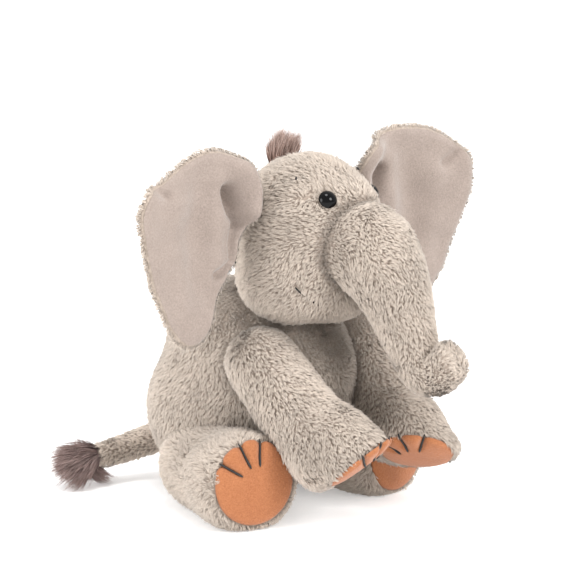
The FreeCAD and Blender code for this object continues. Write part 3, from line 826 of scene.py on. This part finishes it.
def make_ear(side):
    origin, outward, forward, seam = ear_axes(side)
    outline = curve(EAR_OUTLINE, 9, closed=True)
    outline[:, 1] -= (EAR_DROOP[side] * np.exp(-((outline[:, 0] - 64) / 20) ** 2)
                      * step_up(outline[:, 1], -10, 25))
    around, rings = len(outline), 26
    share = np.linspace(0, 1, rings + 1)[1:]
    flat = EAR_CENTRE + share[:, None, None] * (outline - EAR_CENTRE)
    x = np.concatenate([[EAR_CENTRE[0]], flat[:, :, 0].ravel()])
    z = np.concatenate([[EAR_CENTRE[1]], flat[:, :, 1].ravel()])
    s = np.concatenate([[0], np.repeat(share, around)])
    height = ear_height(x, z)
    thick = 2.2 * np.sqrt(np.clip(1 - s ** 6, 0, 1))
    height = height - 2.2 * step_up(s, 0.9, 1.0)

    def place(w):
        return (origin + x[:, None] * outward + z[:, None] * seam + w[:, None] * forward)
    front, back = place(height + thick), place(height - thick)
    tris = []
    for j in range(around):
        k = (j + 1) % around
        tris.append((0, 1 + j, 1 + k))
        for i in range(rings - 1):
            a, b = 1 + i * around + j, 1 + i * around + k
            tris += [(a, a + around, b + around), (a, b + around, b)]
    tris = np.array(tris)
    outward_first = np.cross(front[tris[0][1]] - front[tris[0][0]],
                             front[tris[0][2]] - front[tris[0][0]]) @ forward > 0
    if not outward_first:
        tris = tris[:, ::-1]
    count = len(front)
    last = 1 + (rings - 1) * around
    back_tris = tris[:, ::-1] + count
    rim = np.arange(count) >= last
    merge = np.where(rim, np.arange(count), np.arange(count) + count)
    back_tris = merge[back_tris - count]
    points = np.vstack([front, back])
    used = np.unique(np.concatenate([tris.ravel(), back_tris.ravel()]))
    new_index = np.full(len(points), -1)
    new_index[used] = np.arange(len(used))
    body = make_object(f"ear_{side}_plush", points[used], new_index[np.vstack([tris, back_tris])],
                       PLUSH_SKIN)
    lining_rings = rings - 1
    inner = 1 + lining_rings * around
    cover = place(height + thick + 0.45)[:inner]
    lining = make_object(f"ear_{side}_lining_velour", cover, tris[(tris < inner).all(1)], EAR_VELOUR)
    attach = bends()
    attach(body)
    attach(lining)
    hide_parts(f"ear_{side}_back")
    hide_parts(f"ear_{side}_lining")

    def keep(p, n):
        local = p - origin
        px, pz = local @ outward / EAR_WIDTH[side] ** 2, local @ seam
        offset = np.stack([px, pz], 1) - EAR_CENTRE
        angle = np.arctan2(offset[:, 1], offset[:, 0])
        edge = outline - EAR_CENTRE
        order = np.argsort(np.arctan2(edge[:, 1], edge[:, 0]))
        reach = np.interp(angle, np.arctan2(edge[:, 1], edge[:, 0])[order],
                          np.linalg.norm(edge, axis=1)[order], period=2 * math.pi)
        share_at = np.linalg.norm(offset, axis=1) / reach
        facing = n @ forward
        lined = (facing > 0.0) & (share_at < 0.965)
        return (~lined).astype(float) * (head_field(p) > -3)

    def flow(p):
        away = unit((p - origin) * 1.0)
        return 0.5 * away - 0.5 * seam - 0.9 * forward
    fur(f"ear_{side}_fur", body, flow, keep, attach, density=2.2, length=3.6, seed=31 + SIDES[side])
    return body


for side in SIDES:
    make_ear(side)


# ---------------------------------------------------------------- fur on the body
SMILE = [(36, -22, -19), (34.8, -24, -24), (29, -27, -29.5), (22, -27, -32.5), (11, -28, -35)]


def on_head(offset, lift):
    """The point of the head's skin in the direction of an offset from its middle."""
    offset = row(*offset)
    size = row(42, 42, 46.5)
    point = offset / math.sqrt(((offset / size) ** 2).sum())
    normal = unit(point / size ** 2)
    reach = np.linspace(-8, 14, 90)
    hit = reach[np.argmin(np.abs(head_field(HEAD + point + reach[:, None] * normal)))]
    return HEAD + point + normal * (hit + lift)


def at_mouth(p):
    """1 on the line of the mouth, where the pile is pulled in, and 0 away from it."""
    out = np.zeros(len(p))
    for sign in SIDES.values():
        path = np.array([on_head((sign * x, y, z), 0) for x, y, z in curve(SMILE, 3)])
        gap = np.sqrt(((p[:, None] - path[None]) ** 2).sum(2).min(1))
        out = np.maximum(out, 1 - step_up(gap, 0.8, 3.0))
    return out


def eye_centre(side):
    offset = EYE_OFFSET * row(SIDES[side], 1, 1)
    size = row(42, 42, 46.5)
    point = offset / math.sqrt(((offset / size) ** 2).sum())
    return HEAD + point, unit(point / size ** 2)


EYES = {side: eye_centre(side) for side in SIDES}


def near_eyes(p, radius):
    """1 far from the eyes and 0 on them; the pile closes in above and below each eye."""
    out = np.ones(len(p))
    for centre, normal in EYES.values():
        offset = p - centre
        upward = level_frame(normal)[1]
        gap = np.sqrt((offset ** 2).sum(1) + 3 * (offset @ upward) ** 2)
        out = np.minimum(out, step_up(gap, radius - 0.6, radius + 1.0))
    return out


def head_flow(p):
    away = p - row(0, -72, 152)
    return unit(away) * 0.9 + row(0, 0.2, -0.5)


def trunk_flow(p):
    path = curve(TRUNK, 4)[:, :3]
    tangent = unit(np.gradient(path, axis=0))
    gap = ((p[:, None] - path[None]) ** 2).sum(2)
    return tangent[np.argmin(gap, axis=1)]


def tail_flow(p):
    path = curve(TAIL, 4)[:, :3]
    tangent = unit(np.gradient(path, axis=0))
    gap = ((p[:, None] - path[None]) ** 2).sum(2)
    return tangent[np.argmin(gap, axis=1)]


def torso_flow(p):
    return row(0, 0.1, -1.0) + 0.3 * unit(p - row(0, 4, 60))


others = [head_field] + [ARM_FIELD[s] for s in SIDES] + [LEG_FIELD[s] for s in SIDES]


def above_floor(p, n):
    return (p[:, 2] > 1.2).astype(float)


# Torso pile: painted shade in creases by the limbs and, on the upper part, far out under the head where its
# shadow falls; the whole torso is painted a little darker.
fur("torso_fur_lower", torso, torso_flow,
    both(outside(*others), above_floor, lambda p, n: (p[:, 2] < 62).astype(float)),
    rides("torso"), seed=3, press_and_painted_shade_near=[(f, 2.5) for f in others], painted_light_shift=-0.05)
fur("torso_fur_upper", torso, torso_flow,
    both(outside(*others), lambda p, n: (p[:, 2] >= 62).astype(float)), rides("torso"), seed=4,
    press_and_painted_shade_near=[(head_field, 38)] + [(f, 9) for f in others[1:]], painted_light_shift=-0.08)
# Head and trunk pile get painted shade in the creases where they meet each other and the torso.
fur("head_fur", head, head_flow,
    both(outside(torso_field, trunk_field, depth=4), lambda p, n: near_eyes(p, 3.9)), rides("head"),
    seed=5, length=4.3, shorten=lambda p: (0.75 + 0.25 * near_eyes(p, 8.0)) * (1 - 0.35 * at_mouth(p)),
    press_and_painted_shade_near=[(trunk_field, 4.5), (torso_field, 5)])
fur("trunk_fur", trunk, trunk_flow,
    both(outside(head_field), lambda p, n: ((p - TRUNK_SPLIT) @ split_normal < 0).astype(float)),
    trunk_bend, seed=6, length=4.3, press_and_painted_shade_near=[(head_field, 4)])
fur("trunk_tip_fur", trunk_tip, trunk_flow,
    lambda p, n: ((p - TRUNK_SPLIT) @ split_normal >= 0).astype(float), tip_bend, seed=7,
    length=3.8)
# The tail's pile is painted much lighter: painted light on a part that lies in the torso's shade.
fur("tail_fur", tail, tail_flow, outside(torso_field), tail_bend, seed=8, length=3.8, painted_light_shift=0.4)
# Arm pile gets painted shade near the torso and far out below the head, where the head's shadow falls; leg
# pile gets painted shade in a thin crease by the torso. Both limbs are painted a little darker all over.
for side in SIDES:
    for number, (kind, pivots, soles) in enumerate((("arm", ARM_PIVOT, ARM_SOLE),
                                                    ("leg", LEG_PIVOT, LEG_SOLE))):
        direction = unit(soles[side] - pivots[side])
        blockers = [torso_field] + ([head_field] if kind == "arm" else [])
        fur(f"{kind}_{side}_fur", limbs[kind, side],
            lambda p, d=direction * (1 if kind == "arm" else -0.8): d + row(0, 0, -0.35),
            both(outside(*blockers, depth=5), above_floor,
                 away_from_sole(soles[side] + SOLE_RAISE[kind], sole_direction(kind, side),
                            SOLE_RADIUS[kind])),
            rides(f"{kind}_{side}"), seed=11 + number * 4 + SIDES[side],
            painted_light_shift=-0.02 if kind == "arm" else -0.05,
            press_and_painted_shade_near=[(torso_field, 6), (head_field, 26)] if kind == "arm" else [(torso_field, 1.2)])


# ---------------------------------------------------------------- tufts
def tuft(name, base, normal, spread, lean_to, count, length, width, attach, material, seed, nodes,
         fan=0.35):
    """Long strands that start close together and fan out."""
    rng = np.random.default_rng(seed)
    base, normal, lean_to = row(*base), unit(row(*normal)), row(*lean_to)
    offset = unit(rng.normal(size=(count, 3))) * rng.random((count, 1)) ** 0.4 * row(*spread)
    root = base + offset
    heading = unit(normal + fan * offset / max(spread) + 0.25 * swirl(root, 7, seed)
                   + 0.10 * rng.normal(size=(count, 3)))
    size = length * (0.5 + 0.55 * rng.random(count)) * (1.1 - 0.4 * ((offset / max(spread)) ** 2).sum(1))
    size = size[:, None]
    levels = np.linspace(0, 1, 5)
    line = [root + heading * size * t + lean_to * (t ** 2) * size / length for t in levels]
    line = np.stack(line, 1)
    across = unit(np.cross(heading, rng.normal(size=(count, 3))))
    wide = width / 2 * row(1, 0.95, 0.8, 0.55)
    strip = [line[:, i] + sign * across * wide[i] for i in range(4) for sign in (-1, 1)]
    strip = np.stack(strip + [line[:, 4]], 1)
    strip[:, :, 2] = np.maximum(strip[:, :, 2], FLOOR_CLEAR)
    base_index = np.arange(count)[:, None, None] * 9
    pattern = []
    for i in range(3):
        a = 2 * i
        pattern += [[a, a + 1, a + 3], [a, a + 3, a + 2]]
    pattern.append([6, 7, 8])
    faces = (base_index + np.array(pattern)).reshape(-1, 3)
    obj = make_object(name, strip.reshape(-1, 3), faces, material)
    coordinates = np.zeros((count, 9, 2))
    coordinates[:, :, 0] = np.array([0.01, 0.01, 0.25, 0.25, 0.5, 0.5, 0.75, 0.75, 0.99])
    coordinates[:, :, 1] = np.clip(0.5 + 0.25 * rng.normal(size=count), 0.02, 0.98)[:, None]
    layer = obj.data.uv_layers.new(name="OFBake")
    layer.data.foreach_set("uv", coordinates.reshape(-1, 2)[faces.ravel()].astype(np.float32).ravel())
    attach(obj)
    if nodes:
        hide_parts(*nodes)


tuft("crown_tuft_hair", (-0.5, -16, 189.5), (0, 0.1, 1), (7, 8, 2), (1, -4, 0), 3600, 18.5, 0.4,
     rides("head"), TUFT, 61, ["crown_tuft"], fan=0.1)
tail_hair = bends()
tuft("tail_tuft_hair", (-52, 84, 16.5), (-1, 0.22, 0.02), (7, 7, 7.5), (0, 0, -4), 4000, 25,
     0.45, tail_hair, TAIL_TUFT, 62, ["tail_tuft"])
tuft("tail_tuft_curl", (-52, 84, 13), (-0.35, 0, -1), (5, 4, 3), (13, -2, 1), 1500, 15,
     0.45, tail_hair, TAIL_TUFT, 63, [], fan=0.2)


# ---------------------------------------------------------------- face
def face_threads():
    for side, sign in SIDES.items():
        smile = [on_head((sign * x, y, z), max(0.1, 3.9 - 0.6 * number))
                 for number, (x, y, z) in enumerate(curve(SMILE, 5))]
        strand_tube(f"mouth_thread_{side}", smile, 0.5, rides("head"),
                    "mouth_stitch" if sign > 0 else None)
        brow = [on_head((sign * 25, -13, 35 + t), 3.9) for t in np.linspace(-1.6, 1.6, 6)]
        strand_tube(f"brow_thread_{side}", brow, 0.55, rides("head"),
                    "brow_stitches" if sign > 0 else None)


face_threads()


def node_material(name):
    """The material of a CAD piece, from what its name says it is."""
    for word, material in (("washer", WASHER), ("eye", EYE), ("bag", PELLET_CLOTH), ("fill", PELLETS),
                           ("stitch", THREAD), ("stuffing", FIBRE), ("sole", ORANGE),
                           ("lining", EAR_VELOUR)):
        if word in name:
            return material
    return PLUSH_SKIN


for name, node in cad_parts.items():
    node.data.materials.clear()
    node.data.materials.append(node_material(name))
    node.data.polygons.foreach_set("use_smooth", np.ones(len(node.data.polygons), bool))


# ---------------------------------------------------------------- stage, light, camera
FLOOR_SHADE = 0.93
FLOOR_GLOW = 0.32
WORLD_LIGHT = 0.84   # on the toy and the floor
WORLD_SEEN = 1.0     # behind them


def make_floor():
    mesh = bpy.data.meshes.new("floor")
    size = 6.0
    mesh.from_pydata([(-size, -size, 0), (size, -size, 0), (size, size, 0), (-size, size, 0)], [],
                     [(0, 1, 2, 3)])
    floor = bpy.data.objects.new("floor", mesh)
    bpy.context.scene.collection.objects.link(floor)
    material, _, shader = start_material("floor_white", 0.9)
    shader.inputs["Base Color"].default_value = (FLOOR_SHADE, FLOOR_SHADE, FLOOR_SHADE, 1)
    shader.inputs["Emission Color"].default_value = (1, 1, 1, 1)
    shader.inputs["Emission Strength"].default_value = FLOOR_GLOW
    mesh.materials.append(material)


def area_light(name, place, aim, size, power):
    data = bpy.data.lights.new(name, "AREA")
    data.shape = "DISK"
    data.size = size
    data.energy = power
    light = bpy.data.objects.new(name, data)
    light.location = place
    light.rotation_euler = (Vector(aim) - Vector(place)).to_track_quat("-Z", "Y").to_euler()
    bpy.context.scene.collection.objects.link(light)
    return light


make_floor()
area_light("left", (-1.6, 0.6, 0.6), (0, 0, 0.05), 1.0, 20)
area_light("top", (-0.3, -0.2, 2.3), (0, 0, 0.1), 0.8, 24)
area_light("right", (0.0, -2.0, 1.3), (0, -0.02, 0.1), 1.0, 40)
world = bpy.data.worlds.new("white_room")
world.use_nodes = True
background = world.node_tree.nodes["Background"]
background.inputs["Color"].default_value = (1, 1, 1, 1)
seen = world.node_tree.nodes.new("ShaderNodeLightPath")
strength = world.node_tree.nodes.new("ShaderNodeMapRange")
strength.inputs["To Min"].default_value = WORLD_LIGHT
strength.inputs["To Max"].default_value = WORLD_SEEN
world.node_tree.links.new(seen.outputs["Is Camera Ray"], strength.inputs["Value"])
world.node_tree.links.new(strength.outputs["Result"], background.inputs["Strength"])
bpy.context.scene.world = world
bpy.context.scene.view_settings.view_transform = "Standard"

camera_data = bpy.data.cameras.new("camera")
camera_data.lens = 157.5
camera_data.sensor_width = 36
camera_data.clip_start = 0.05
camera = bpy.data.objects.new("camera", camera_data)
camera.location = (-1.059, -0.923, 0.368)
aim = Vector((-0.0094, -0.0297, 0.1207))
camera.rotation_euler = (aim - camera.location).to_track_quat("-Z", "Y").to_euler()
bpy.context.scene.collection.objects.link(camera)
bpy.context.scene.camera = camera
